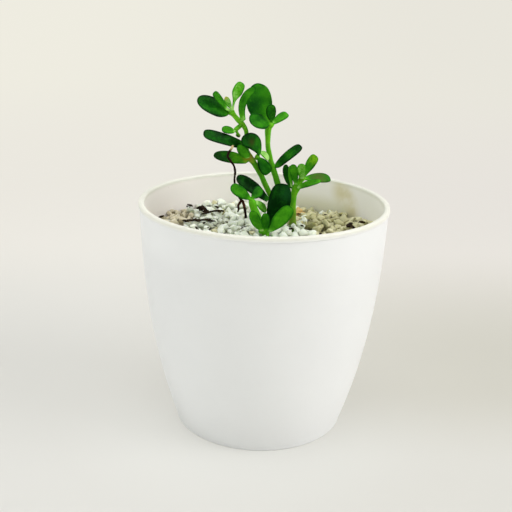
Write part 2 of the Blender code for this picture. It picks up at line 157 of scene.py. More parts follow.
# Small dark crumbs on the gravel: x, y, length, thickness, heading in degrees
LITTER = [
    (-29, -6.5, 3.6, 1.1, -60), (-27.6, -5.5, 3.0, 0.7, 50), (-23.8, -5.5, 3.6, 0.8, 80),
    (-26, 32, 2.6, 0.6, 20),
    (-16.7, 11, 1.8, 0.6, 0), (-9.2, 1.5, 3.6, 0.6, 50), (-6.6, -8.6, 1.8, 1.0, -30),
    (-35.6, 24.0, 2.6, 1.2, -55),
    (-24.6, -1.5, 1.2, 0.7, 80), (-39.5, 12, 1.6, 0.8, 60), (-31, 11, 1.8, 0.9, 80),
    (-17, -10, 1.4, 0.6, 10),
    (17.2, 3.3, 2.4, 0.9, -60), (12.4, 2, 2.0, 0.9, 10), (25.2, -3.4, 2.6, 1.2, 75), (17, 31, 2.4, 0.9, 0),
    (30, 28.5, 2.2, 0.9, 0), (44.8, 11.0, 3.0, 1.5, 0), (24.5, 30.5, 2.4, 0.8, -10),
    (32.5, 24, 1.6, 0.7, 10),
]

# Leaves, as in the CAD, with a look and a tone (0 is nearly black green, 1 is pale lime)
# A tone is partly the leaf's own green and partly painted shade: leaves that lie in shade were given a low
# tone.
LEAVES = [
    Leaf("left_01", (-16.6, 0.9, 49.8), (-29.4, -6.5, 56.3), 8.4, 1.8,
         (0, -0.8, 0.6), 0.3, 0, 0.44, 0.8, 2.3, "dark", 0.26),
    Leaf("left_02", (-17.3, -1.2, 52.1), (-22.5, -6.5, 59.7), 3, 1.4,
         (0.2, -0.9, 0.3), 0.3, 0, 0.75, 1, 3, "mid", 0.55),
    Leaf("left_03", (-14.6, -0.6, 51.8), (-10.8, -1, 63.27), 4.5, 0.9,
         (0.2, -0.9, 0.2), 0.3, 0.8, 0.66, 5, 3, "young", 0.77),
    Leaf("left_04", (-15.5, 1.6, 51.8), (-17.9, 2.6, 56.6), 2.6, 1,
         (-0.2, -0.9, 0.3), 0.2, 0, 0.6, 1, 2, "young", 0.92),
    Leaf("left_05", (-10.1, -0.6, 47.5), (-5, -4.5, 61.7), 3.6, 2.4,
         (-0.2, -0.9, 0.3), 0.5, 2.7, 0.6, 1, 2.5, "mid", 0.52),
    Leaf("left_06", (-13.8, -1.4, 42.5), (-19.1, -3, 43.5), 3.6, 1.5,
         (0, -0.8, 0.6), 0.3, 0, 0.55, 0.8, 2.4, "young", 0.66),
    Leaf("left_07", (-9.8, 1, 36), (-26.6, -8.5, 42.6), 5.5, 3.4,
         (0, -0.8, 0.6), 0.4, 0, 0.62, 0.7, 3, "dark", 0.19),
    Leaf("left_08", (-2.7, 1.9, 32.3), (-10.6, -6.5, 39.4), 7.2, 1.6,
         (0.2, -0.9, 0.4), 0.8, -2.5, 0.5, 0.8, 2.4, "dark", 0.24),
    Leaf("left_09", (-8.3, 2.3, 29), (-22.9, 6.5, 30.4), 5.6, 2.8,
         (0, -0.8, 0.6), 0.4, 0, 0.5, 0.9, 2.2, "mid", 0.35),
    Leaf("left_10", (-7.8, 0.7, 30.8), (-11.5, -4.5, 37.5), 4.6, 2.2,
         (-0.3, -0.8, 0.4), 0.3, 0, 0.5, 1, 2.4, "young", 0.55),
    Leaf("left_11", (-2.6, 4.8, 32.3), (1.2, 5.4, 28.7), 3.4, 1.2,
         (0.3, -0.6, 0.7), 0.6, 0.5, 0.5, 1, 2, "young", 0.97),
    Leaf("left_12", (-2.9, 2.6, 30.1), (1.6, 2.6, 23.4), 5.5, 1.6,
         (0.2, -0.9, 0.3), 0.3, 0, 0.6, 0.8, 2.8, "dark", 0.26),
    Leaf("left_13", (1.5, 5.2, 10.8), (-12.4, -1, 22.3), 5.9, 2.2,
         (0.1, -0.8, 0.5), 0.4, -0.4, 0.6, 1, 2.5, "dark", 0.09),
    Leaf("right_01", (0.6, 8.4, 45.6), (-2.4, 13.5, 60.9), 11.3, 1.8,
         (-0.1, -0.9, 0.3), 0.3, 2.4, 0.5, 0.7, 2.4, "dark", 0.44),
    Leaf("right_02", (0.7, 5.6, 45.4), (-7.2, -2.5, 47.1), 8.4, 1.8,
         (0, -0.8, 0.6), 0.5, 0, 0.55, 0.8, 2.2, "mid", 0.38),
    Leaf("right_03", (2.2, 6.1, 46.1), (1.3, 0, 54.1), 4.5, 1.4,
         (0.1, -0.9, 0.3), 0.3, 0, 0.6, 1, 2.6, "dark", 0.37),
    Leaf("right_04", (3.1, 7, 45.2), (9.1, 10.5, 48.8), 4.1, 2,
         (-0.3, -0.8, 0.5), 0.3, 0, 0.62, 0.9, 2.8, "young", 0.6),
    Leaf("right_05", (5.2, 8.6, 25.6), (15.8, 12.5, 34.2), 4.9, 2.6,
         (-0.4, -0.7, 0.5), 0.4, 0, 0.6, 0.6, 3, "dark", 0.25),
    Leaf("side_01", (11.6, 7.6, 16.2), (9, 11.5, 25.7), 4.2, 1.2,
         (-0.6, -0.8, 0), 0.3, 0, 0.6, 1, 2.2, "dark", 0.28),
    Leaf("side_02", (12.1, 5.7, 17.1), (10.9, 5.8, 26.5), 2.6, 1,
         (-0.8, -0.6, 0), 0.2, 0, 0.6, 1, 2, "mid", 0.68),
    Leaf("side_03", (13.9, 4.8, 18.5), (12.1, 2.2, 28), 3.7, 1.4,
         (-0.2, -0.9, 0.2), 0.3, 0, 0.7, 1.2, 2.4, "young", 0.63),
    Leaf("side_04", (16.5, 4.2, 21.4), (15.5, -0.8, 29), 4.1, 1.6,
         (0, -0.9, 0.3), 0.3, 0, 0.6, 0.9, 2.6, "young", 0.84),
    Leaf("side_05", (17.5, 5.7, 22.3), (22.3, 5, 31.5), 4.7, 1.4,
         (-0.4, -0.8, 0.3), 0.3, 0.2, 0.65, 1.2, 3.2, "young", 0.57),
    Leaf("side_06", (15.1, 4.6, 17.2), (24.5, -2.5, 22), 3.4, 2.4,
         (0, -0.7, 0.7), 0.4, 0, 0.5, 0.8, 2, "young", 0.65),
    Leaf("side_07", (18.3, 6.8, 20.7), (29.7, 13.5, 19.4), 5.2, 2,
         (0.1, -0.7, 0.7), 0.4, 0, 0.6, 0.9, 2.4, "mid", 0.37),
    Leaf("low_01", (-6.7, -9.3, 15.4), (-14.3, -16.5, 22.1), 5, 2,
         (-0.3, -0.8, 0.5), 0.3, 0, 0.6, 0.9, 2.5, "young", 0.45),
    Leaf("low_02", (-5.1, -8.8, 15.4), (-1.6, -5.5, 18.9), 4.6, 1.6,
         (0.2, -0.9, 0.3), 0.2, 0, 0.55, 0.8, 2.4, "mid", 0.33),
    Leaf("low_03", (-3.6, -7.6, 13.2), (1, -5, 8.2), 3.8, 1.6,
         (0.3, -0.7, 0.6), 0.3, 0, 0.55, 0.9, 2, "mid", 0.73),
    Leaf("low_04", (-0.6, -12.2, 1.7), (-4.9, -18, 12.1), 4.8, 1.4,
         (-0.3, -0.8, 0.4), 0.5, 0.4, 0.6, 0.8, 2.4, "mid", 0.64),
    Leaf("low_05", (1.1, -11.6, 1.8), (0.4, -13.6, 10), 3.8, 1.2,
         (0, -0.9, 0.3), 0.2, 0, 0.6, 0.9, 2.2, "dark", 0.46),
    Leaf("low_06", (2.8, -11.5, 1.6), (11.3, -15, 13.5), 6.4, 1.8,
         (0.2, -0.9, 0.3), 0.4, 0, 0.6, 0.9, 2.6, "mid", 0.64),
    Leaf("low_07", (2.5, -8.4, 2.1), (7.2, -6, 21.3), 9.8, 2,
         (0.1, -0.9, 0.2), 0.3, -1.2, 0.55, 0.9, 2.8, "dark", 0.07),
]


# Leaf colours from nearly black green to pale lime
LEAF_TONES = [
    (0.0, (0.001, 0.020, 0.002)), (0.25, (0.007, 0.097, 0.004)), (0.5, (0.032, 0.225, 0.007)),
    (0.75, (0.085, 0.400, 0.012)), (1.0, (0.40, 0.74, 0.20)),
]

# A run of dried soil down the inner wall
STAIN = [(37.4, 36.2, 99), (39.2, 34.3, 96), (40.6, 32.6, 93), (41.8, 31, 90)]

# Marks on leaves: point, radius, colour
DARK_MARKS = [
    ((-6.1, -3, GRAVEL_TOP + 38.4), 3, (0.03, 0.05, 0.006)),
    # The next two marks are painted shade on the left side of right_01 and painted light on its upper part.
    ((-6, 9.5, GRAVEL_TOP + 52.8), 7, (0.004, 0.06, 0.006)),
    ((1.4, 11.5, GRAVEL_TOP + 58), 6, (0.035, 0.21, 0.006)),
    ((10, -6.5, GRAVEL_TOP + 17), 5, (0.006, 0.06, 0.012)),
]
MID_MARKS = [
    ((-8.2, 2, GRAVEL_TOP + 30.6), 3.2, (0.33, 0.22, 0.02)),
    ((-21.6, 5.6, GRAVEL_TOP + 30.2), 8, (0.006, 0.04, 0.004)),
    ((-12.4, 3.6, GRAVEL_TOP + 30.6), 5, (0.07, 0.30, 0.006)),
    ((23.8, 10, GRAVEL_TOP + 20.3), 7, (0.07, 0.13, 0.02)),
]
YOUNG_MARKS = [
    ((-17.7, 2.5, GRAVEL_TOP + 56.3), 2, (0.42, 0.40, 0.05)),
    ((21.6, 5, GRAVEL_TOP + 30), 4, (0.20, 0.48, 0.01)),
]
STEM_MARKS = [
    ((-7.5, 2.6, GRAVEL_TOP + 30.5), 4.5, (0.30, 0.22, 0.03)),
    ((13.2, 6, GRAVEL_TOP + 1), 10, (0.13, 0.22, 0.02)),
    ((-11.5, -0.6, GRAVEL_TOP + 40.6), 0.9, (0.30, 0.25, 0.05)),
    ((-12.4, -0.3, GRAVEL_TOP + 40), 1.3, (0.01, 0.015, 0.004)),
]


# Node helpers


class Shader:
    """A material's node tree with short ways to add and join nodes."""

    def __init__(self, name):
        self.material = bpy.data.materials.new(name)
        self.material.use_nodes = True
        self.tree = self.material.node_tree
        self.body = self.tree.nodes["Principled BSDF"]

    def put(self, socket, value):
        if isinstance(value, bpy.types.NodeSocket):
            self.tree.links.new(value, socket)
        elif isinstance(value, tuple) and len(value) == 3 and socket.type == "RGBA":
            socket.default_value = (*value, 1)
        else:
            socket.default_value = value

    def node(self, kind, settings=None, **inputs):
        made = self.tree.nodes.new("ShaderNode" + kind)
        for key, value in (settings or {}).items():
            setattr(made, key, value)
        for key, value in inputs.items():
            self.put(made.inputs[key.replace("_", " ")], value)
        return made

    def attribute(self, name, output="Fac"):
        return self.node("Attribute", {"attribute_name": name}).outputs[output]

    def place(self):
        """The point on the piece, in metres in the part's frame."""
        return self.node("TexCoord").outputs["Object"]

    def noise(self, scale, detail=3.0, rough=0.55, vector=None):
        made = self.node("TexNoise", Scale=scale, Detail=detail, Roughness=rough)
        self.put(made.inputs["Vector"], vector or self.place())
        return made.outputs["Fac"]

    def cells(self, scale, output="Distance", vector=None):
        made = self.node("TexVoronoi", Scale=scale)
        self.put(made.inputs["Vector"], vector or self.place())
        return made.outputs[output]

    def span(self, value, low, high, to_low=0.0, to_high=1.0):
        """value between low and high, mapped to to_low and to_high and held there."""
        made = self.node("MapRange", {"clamp": True, "interpolation_type": "SMOOTHSTEP"})
        for number, item in enumerate((value, low, high, to_low, to_high)):
            self.put(made.inputs[number], item)
        return made.outputs[0]

    def math(self, operation, first, second=0.0):
        made = self.node("Math", {"operation": operation, "use_clamp": False})
        self.put(made.inputs[0], first)
        self.put(made.inputs[1], second)
        return made.outputs[0]

    def mix(self, share, first, second, blend="MIX"):
        made = self.node("Mix", {"data_type": "RGBA", "blend_type": blend})
        self.put(made.inputs["Factor"], share)
        self.put(made.inputs[6], first)
        self.put(made.inputs[7], second)
        return made.outputs[2]

    def ramp(self, value, stops):
        """A colour read off stops of (place, colour) that run from 0 to 1."""
        made = self.node("ValToRGB")
        elements = made.color_ramp.elements
        elements[0].color = (*stops[0][1], 1)
        elements[1].color = (*stops[-1][1], 1)
        for place, colour in stops[1:-1]:
            elements.new(place).color = (*colour, 1)
        self.put(made.inputs["Fac"], value)
        return made.outputs["Color"]

    def near(self, point, radius):
        """1 at a point given in millimetres, falling to 0 at a radius."""
        gap = self.node("VectorMath", {"operation": "DISTANCE"})
        self.put(gap.inputs[0], self.place())
        gap.inputs[1].default_value = tuple(value * MM for value in point)
        return self.span(gap.outputs["Value"], 0.0, radius * MM, 1.0, 0.0)

    def marked(self, colour, marks):
        """The colour with ragged marks of (point, radius, colour) over it."""
        ragged = self.span(self.noise(900.0, 3.0), 0.25, 0.5)
        for point, radius, paint in marks:
            colour = self.mix(self.math("MULTIPLY", self.near(point, radius), ragged), colour, paint)
        return colour

    def reach(self):
        """Distance from the pot's axis, in metres."""
        parts = self.node("SeparateXYZ", Vector=self.place())
        squares = [self.math("MULTIPLY", parts.outputs[axis], parts.outputs[axis]) for axis in "XY"]
        return self.math("SQRT", self.math("ADD", *squares))

    def bump(self, height, distance, strength=1.0):
        made = self.node("Bump", Strength=strength, Distance=distance * MM, Height=height)
        self.put(self.body.inputs["Normal"], made.outputs["Normal"])

    def set(self, **values):
        for key, value in values.items():
            self.put(self.body.inputs[key.replace("_", " ")], value)
        return self.material


def pot_material():
    """White plastic: cool outside, a creamier lip darkened as painted shade on its top, a soil stain and
    specks on the inner wall, which is painted paler as light through the plastic, and painted shade low on
    the inner wall's right side.
    """
    shader = Shader("pot_plastic")
    parts = shader.node("SeparateXYZ", Vector=shader.place()).outputs
    height = parts["Z"]
    cloud = shader.noise(28.0, 4.0)
    colour = shader.mix(shader.span(cloud, 0.35, 0.7), (0.80, 0.815, 0.83), (0.815, 0.83, 0.845))
    inner = shader.math("LESS_THAN", shader.reach(), INNER_WALL_REACH * MM)
    inner = shader.math("MULTIPLY", inner, shader.span(height, 80 * MM, 84 * MM))
    # Painted light: the inner wall is paler than the outside, standing in for light through the thin plastic,
    # and pinker on its left.
    inside = shader.mix(shader.span(parts["X"], -30 * MM, 0), (0.90, 0.855, 0.83), (0.92, 0.91, 0.87))
    colour = shader.mix(inner, colour, inside)
    # The lip is creamier, its own colour, and also darker, which is painted shade on its upward face.
    lip = shader.span(height, (POT_HEIGHT - LIP_HEIGHT - 0.2) * MM, (POT_HEIGHT - 0.4) * MM)
    colour = shader.mix(lip, colour, (0.735, 0.735, 0.66))
    ragged = shader.span(shader.noise(130.0, 5.0), 0.3, 0.6, 0.35, 1.0)
    stain = shader.near(STAIN[0], 9)
    for point in STAIN[1:]:
        stain = shader.math("MAXIMUM", stain, shader.near(point, 9))
    stain = shader.math("MULTIPLY", shader.math("MULTIPLY", stain, ragged), inner)
    colour = shader.mix(shader.math("MULTIPLY", stain, 0.85), colour, (0.66, 0.60, 0.36))
    # Painted shade: low on the right side of the inner wall, near the gravel, the colour is darkened to olive
    # grey.
    low = shader.span(height, 97 * MM, 89 * MM)
    painted_wall_shade = shader.math("MULTIPLY", low, shader.span(parts["X"], -5 * MM, 20 * MM))
    painted_wall_shade = shader.math("MULTIPLY", painted_wall_shade, shader.span(parts["X"], 46 * MM, 38 * MM))
    painted_wall_shade = shader.math("MULTIPLY", painted_wall_shade, inner)
    colour = shader.mix(shader.math("MULTIPLY", painted_wall_shade, 0.6), colour, (0.60, 0.60, 0.42))
    speck = shader.span(shader.cells(170.0), 0.03, 0.09, 1.0, 0.0)
    patch = shader.span(shader.noise(45.0, 2.0), 0.55, 0.62)
    dirt = shader.math("MULTIPLY", shader.math("MULTIPLY", speck, patch), inner)
    colour = shader.mix(shader.math("MULTIPLY", dirt, 0.6), colour, (0.30, 0.25, 0.18))
    fine = shader.noise(900.0, 2.0)
    shader.bump(shader.math("ADD", shader.math("MULTIPLY", fine, 0.3), cloud), 0.05, 0.5)
    rough = shader.span(shader.noise(60.0, 4.0), 0.3, 0.7, 0.36, 0.46)
    return shader.set(
        Base_Color=colour, Roughness=rough, Subsurface_Weight=0.35, Subsurface_Radius=(0.004, 0.004, 0.004),
        Subsurface_Scale=1.0, Specular_IOR_Level=0.4,
    )


def stone_material(name, pale, deep, warm, dust_and_shade):
    """Broken marble: each stone has its own tint and soft clouds, and what lies low is dusted with soil and
    darkened as painted shade in the gaps.
    """
    shader = Shader(name)
    tint = shader.attribute("tint")
    cloud = shader.noise(320.0, 4.0)
    colour = shader.mix(tint, deep, pale)
    colour = shader.mix(shader.span(cloud, 0.42, 0.75, 0.0, 0.4), colour, warm)
    vein = shader.span(shader.noise(800.0, 6.0, 0.7), 0.6, 0.7, 0.0, 0.2)
    colour = shader.mix(vein, colour, deep)
    # What lies low between the stones is partly dusted with soil and partly painted shade.
    low = shader.span(shader.attribute("depth"), 0.0, 1.0, 0.0, 0.8)
    colour = shader.mix(low, colour, dust_and_shade)
    shader.bump(shader.math("ADD", shader.noise(2200.0, 4.0), shader.noise(700.0, 4.0)), 0.1, 0.5)
    return shader.set(
        Base_Color=colour, Roughness=shader.span(cloud, 0.3, 0.7, 0.5, 0.7), Subsurface_Weight=0.4,
        Subsurface_Radius=(0.002, 0.002, 0.0015), Subsurface_Scale=1.0, Specular_IOR_Level=0.3,
    )


def bed_material():
    # The dark ground under the stones stands for soil and lower stones, darkened as painted shade in the
    # gaps.
    shader = Shader("bed_dark")
    grit = shader.span(shader.noise(700.0, 5.0), 0.35, 0.7)
    colour = shader.mix(grit, (0.22, 0.21, 0.13), (0.44, 0.43, 0.32))
    shader.bump(shader.noise(1200.0, 5.0), 0.4)
    return shader.set(Base_Color=colour, Roughness=0.9)


def soil_material():
    shader = Shader("soil")
    crumb = shader.noise(900.0, 6.0, 0.7)
    colour = shader.mix(shader.span(crumb, 0.35, 0.7), (0.035, 0.022, 0.014), (0.12, 0.08, 0.055))
    shader.bump(crumb, 0.6)
    return shader.set(Base_Color=colour, Roughness=0.95)


def bark_material():
    """Flaked bark with grain along it and pale worn fibres."""
    shader = Shader("bark")
    grain = shader.noise(1100.0, 6.0, 0.7)
    patch = shader.noise(350.0, 3.0)
    colour = shader.mix(shader.span(grain, 0.35, 0.65), (0.008, 0.005, 0.003), (0.045, 0.028, 0.015))
    colour = shader.mix(shader.span(patch, 0.6, 0.75, 0.0, 0.5), colour, (0.15, 0.112, 0.07))
    shader.bump(grain, 0.35)
    return shader.set(Base_Color=colour, Roughness=0.85, Specular_IOR_Level=0.1)


def root_material():
    shader = Shader("dry_root")
    grain = shader.noise(1600.0, 5.0, 0.7)
    colour = shader.mix(shader.span(grain, 0.35, 0.65), (0.006, 0.002, 0.001), (0.028, 0.009, 0.006))
    colour = shader.mix(shader.near((-9.5, 11.5, GRAVEL_TOP + 7), 4), colour, (0.11, 0.033, 0.018))
    colour = shader.mix(shader.near((-14.4, -5.4, GRAVEL_TOP + 36.6), 2.2), colour, (0.85, 0.70, 0.36))
    shader.bump(grain, 0.25)
    return shader.set(Base_Color=colour, Roughness=0.75, Specular_IOR_Level=0.1)


def stem_material():
    """Juicy green stem: yellower where it is young, with fine streaks along it and one brown scar."""
    shader = Shader("stem_skin")
    streak = shader.noise(800.0, 3.0)
    cloud = shader.noise(160.0, 3.0)
    young = shader.attribute("along")
    colour = shader.mix(young, (0.055, 0.28, 0.010), (0.11, 0.44, 0.012))
    colour = shader.mix(shader.span(cloud, 0.42, 0.68, 0.0, 0.7), colour, (0.19, 0.56, 0.02))
    colour = shader.mix(shader.span(streak, 0.55, 0.75, 0.0, 0.4), colour, (0.03, 0.18, 0.006))
    colour = shader.marked(colour, STEM_MARKS)
    shader.bump(streak, 0.15, 0.5)
    return shader.set(
        Base_Color=colour, Roughness=0.4, Subsurface_Weight=0.2, Subsurface_Radius=(0.0008, 0.0018, 0.0004),
        Subsurface_Scale=1.0, Specular_IOR_Level=0.06,
    )


def leaf_material(name, rough, marks):
    """Thick leaf: blotches, a pale foot, edges darkened as painted shade and a few marks of (point, radius,
    colour).
    """
    shader = Shader(name)
    rim = shader.attribute("rim")
    along = shader.attribute("along")
    cloud = shader.noise(170.0, 3.0)
    dots = shader.noise(1500.0, 3.0)
    tone = shader.math("ADD", shader.attribute("tone"), shader.span(cloud, 0.25, 0.75, -0.16, 0.16))
    tone = shader.math("ADD", tone, shader.span(dots, 0.3, 0.7, -0.04, 0.04))
    tone = shader.math("ADD", tone, shader.span(along, 0.0, 0.2, 0.3, 0.0))
    # Painted shade: the edges are darkened where they turn from the light.
    tone = shader.math("SUBTRACT", tone, shader.span(rim, 0.6, 0.97, 0.0, 0.24))
    colour = shader.ramp(tone, LEAF_TONES)
    colour = shader.marked(colour, marks)
    shader.bump(shader.math("ADD", shader.math("MULTIPLY", dots, 0.2), cloud), 0.12, 0.6)
    return shader.set(
        Base_Color=colour, Roughness=rough, Subsurface_Weight=0.1, Subsurface_Radius=(0.0004, 0.0012, 0.0002),
        Subsurface_Scale=1.0, Specular_IOR_Level=0.03,
    )


# Mesh helpers


def finish_mesh(name, mesh, material, replaced=()):
    """Links a mesh as a piece that rides on the part's only body."""
    mesh.shade_smooth()
    mesh.materials.append(material)
    piece = bpy.data.objects.new(name, mesh)
    bpy.context.scene.collection.objects.link(piece)
    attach(piece, "root")
    if replaced:
        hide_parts(*replaced)
    return piece


def add_values(mesh, name, values):
    mesh.attributes.new(name, "FLOAT", "POINT").data.foreach_set("value", np.asarray(values, np.float32))


def wall_radius(z):
    """Outer radius of the pot's wall at a height, as in the CAD."""
    t = z / POT_HEIGHT
    rise = 3 * t**2 - 2 * t**3
    ends = WALL_BASE_RADIUS * (1 - rise) + WALL_TOP_RADIUS * rise
    return ends + BASE_FLARE * (t**3 - 2 * t**2 + t) + TOP_FLARE * (t**3 - t**2)


def turned(name, profile, steps):
    """A closed mesh turned from (radius, height) points in millimetres that start and end on the axis."""
    bm = bmesh.new()
    points = [bm.verts.new((radius * MM, 0, z * MM)) for radius, z in profile]
    edges = [bm.edges.new(pair) for pair in zip(points, points[1:])]
    bmesh.ops.spin(bm, geom=points + edges, cent=(0, 0, 0), axis=(0, 0, 1), angle=2 * math.pi, steps=steps)
    bmesh.ops.remove_doubles(bm, verts=bm.verts, dist=0.000001)
    bmesh.ops.recalc_face_normals(bm, faces=bm.faces)
    mesh = bpy.data.meshes.new(name)
    bm.to_mesh(mesh)
    bm.free()
    return mesh


def arc(centre, radius, start, end, count):
    """Points of an arc in a profile, angles in degrees from the outward direction."""
    angles = [math.radians(start + (end - start) * k / (count - 1)) for k in range(count)]
    return [(centre[0] + radius * math.cos(a), centre[1] + radius * math.sin(a)) for a in angles]


def build_pot():
    lip_bottom = POT_HEIGHT - LIP_HEIGHT
    lip_inner = wall_radius(lip_bottom) - WALL
    heights = (8, 18, 28, 38, 48, 58, 68, 78, 86, 92, 97, lip_bottom - 1.5)
    inside = [(wall_radius(z) - WALL, z) for z in heights]
    lip = [(lip_inner + 0.05, lip_bottom)]
    lip += arc((lip_inner + 1.0, POT_HEIGHT - 0.9), 0.9, 180, 90, 6)
    lip += arc((RIM_RADIUS - 0.8, POT_HEIGHT - 0.8), 0.8, 90, 0, 6)
    lip += arc((RIM_RADIUS - 0.3, lip_bottom + 0.35), 0.3, 0, -80, 4)
    lip += [(wall_radius(lip_bottom) + 0.02, lip_bottom - 0.15)]
    heights = (99, 94, 88, 82, 75, 68, 61, 54, 47, 40, 33, 26, 20, 14, 9, 6, 4, 2.6)
    outside = [(wall_radius(z), z) for z in heights]
    foot = arc((FOOT_OUTER_RADIUS - 0.4, 1.4), 1.4, 20, -90, 7)
    foot += arc((FOOT_INNER_RADIUS + 0.6, 0.5), 0.5, -90, -180, 4) + [(FOOT_INNER_RADIUS - 0.2, 1), (0, 1)]
    floor = [(0, 3), (24, 3), (31, 3)] + arc((32, 7), 4, -88, -20, 6)
    mesh = turned("pot_shell", floor + inside + lip + outside + foot, POT_STEPS)
    piece = finish_mesh("pot_shell", mesh, pot_material(), ["pot"])
    cutter_mesh = bpy.data.meshes.new("drain_cutter")
    bm = bmesh.new()
    for k in range(DRAIN_COUNT):
        turn = math.radians(45) + 2 * math.pi * k / DRAIN_COUNT
        made = bmesh.ops.create_cone(
            bm, cap_ends=True, segments=32, radius1=DRAIN_RADIUS * MM, radius2=DRAIN_RADIUS * MM, depth=6 * MM
        )
        place = Vector((math.cos(turn), math.sin(turn), 0)) * DRAIN_CIRCLE_RADIUS * MM
        bmesh.ops.translate(bm, vec=place + Vector((0, 0, 2 * MM)), verts=made["verts"])
    bm.to_mesh(cutter_mesh)
    bm.free()
    cutter = bpy.data.objects.new("drain_cutter", cutter_mesh)
    bpy.context.scene.collection.objects.link(cutter)
    holes = piece.modifiers.new("drains", "BOOLEAN")
    holes.operation = "DIFFERENCE"
    holes.solver = "EXACT"
    holes.object = cutter
    graph = bpy.context.evaluated_depsgraph_get()
    done = bpy.data.meshes.new_from_object(piece.evaluated_get(graph))
    piece.modifiers.clear()
    piece.data = done
    bpy.data.objects.remove(cutter)
    piece.data.shade_smooth()
    piece.data.set_sharp_from_angle(angle=math.radians(50))


# Gravel


def stone_shape(draw):
    """Points and triangles of one broken stone with worn edges, about one unit in radius."""
    bm = bmesh.new()
    for _ in range(draw.choice((12, 13, 14, 16))):
        z = draw.uniform(-1, 1)
        turn = draw.uniform(0, 2 * math.pi)
        flat = math.sqrt(1 - z * z)
        bm.verts.new(Vector((flat * math.cos(turn), flat * math.sin(turn), z)) * draw.uniform(0.85, 1.05))
    hull = bmesh.ops.convex_hull(bm, input=bm.verts)
    bmesh.ops.delete(bm, geom=hull["geom_interior"], context="VERTS")
    bmesh.ops.dissolve_limit(bm, angle_limit=math.radians(14), verts=bm.verts, edges=bm.edges)
    bmesh.ops.bevel(
        bm, geom=list(bm.edges), offset=0.24, offset_type="OFFSET", segments=2, profile=0.5, affect="EDGES",
        clamp_overlap=True,
    )
    bmesh.ops.remove_doubles(bm, verts=bm.verts, dist=0.02)
    bmesh.ops.triangulate(bm, faces=bm.faces)
    bmesh.ops.dissolve_degenerate(bm, dist=0.005, edges=bm.edges)
    bmesh.ops.triangulate(bm, faces=bm.faces)
    bmesh.ops.recalc_face_normals(bm, faces=bm.faces)
    bm.verts.index_update()
    points = np.array([vertex.co[:] for vertex in bm.verts])
    triangles = np.array([[vertex.index for vertex in face.verts] for face in bm.faces])
    bm.free()
    points -= (points.max(0) + points.min(0)) / 2
    return points / np.abs(points).max(0), triangles


def gravel_top(x, y):
    """Height that the stones reach, lower behind the plant."""
    away = math.hypot(x - DIP_CENTRE[0], y - DIP_CENTRE[1]) / DIP_REACH
    dip = BACK_DIP * max(0, 1 - away**2)
    return GRAVEL_TOP - dip + 0.5 * noise.noise(Vector((x, y, 0)) / 9)


def settle_stones(draw):
    """Drops round stand-ins one by one, letting each roll to a low spot: rows of x, y, z, radius."""
    feet = [(*points[0][:2], points[0][3]) for points in (STEM_LEFT, STEM_RIGHT, STEM_SIDE, STEM_LOW, ROOT)]
    wall = wall_radius(GRAVEL_TOP - GRAVEL_LAYER / 2) - WALL - STONE_RIM_CLEARANCE
    placed = np.zeros((0, 4))
    offsets = [(math.cos(a), math.sin(a)) for a in np.linspace(0, 2 * math.pi, 8, endpoint=False)]

    def rest_height(x, y, radius):
        if math.hypot(x, y) > wall - radius:
            return 1e9
        if any(math.hypot(x - fx, y - fy) < radius * 0.85 + fr for fx, fy, fr in feet):
            return 1e9
        lowest = gravel_top(x, y) - GRAVEL_LAYER + radius * 0.7
        gap = (placed[:, 0] - x) ** 2 + (placed[:, 1] - y) ** 2
        reach = (placed[:, 3] + radius) ** 2 - gap
        under = reach > 0
        if not under.any():
            return lowest
        return max(lowest, float((placed[under, 2] + np.sqrt(reach[under])).max()))

    for _ in range(STONE_TRIES):
        x, y = 60.0, 0.0
        while math.hypot(x, y) > wall - 1:
            x, y = draw.uniform(-wall, wall), draw.uniform(-wall, wall)
        radius = draw.triangular(*STONE_RADIUS)
        best = rest_height(x, y, radius)
        for step in (1.4, 1.4, 1.0, 1.0, 0.7, 0.7, 0.4, 0.4, 0.25, 0.25):
            for dx, dy in offsets:
                height = rest_height(x + dx * step, y + dy * step, radius)
                if height < best - 0.02:
                    best, x, y = height, x + dx * step, y + dy * step
        if best + radius * 0.7 < gravel_top(x, y) + 0.7:
            placed = np.vstack([placed, (x, y, best, radius)])
    return placed


def stone_group(x, y, draw):
    """Which colour of stone lies at a place: white in the middle, cream right, beige far left."""
    if math.hypot(x - AMBER_PLACE[0], y - AMBER_PLACE[1]) < AMBER_REACH:
        return "gravel_amber"
    if draw.random() < 0.9 * min(max((-26 - x - 0.3 * abs(y - 14)) / 8, 0), 1):
        return "gravel_beige"
    if draw.random() < min(max((x - 2 + 0.8 * min(y - 12, 0)) / 20, 0.05), 0.96):
        return "gravel_cream"
    return draw.choice(("gravel_white", "gravel_white", "gravel_grey"))


def stone_tint(x, y, draw):
    """How pale a stone is at a place: 0 is its group's deepest colour, 1 its palest."""
    # Painted shade: stones around (21, 17), near the plant's foot on the right, are made darker.
    painted_shade_patch = 0.75 * math.exp(-((math.hypot(x - 21, y - 17) / 13) ** 2))
    # Stones are paler towards the front, and painted light makes those under the plant near (-10, -1) paler.
    bright = 0.3 * min(max((6 - y) / 10, 0), 1) + 0.3 * math.exp(-((math.hypot(x + 10, y + 1) / 8) ** 2))
    return min(max(draw.betavariate(2.6, 1.3) - painted_shade_patch + bright, 0), 1)


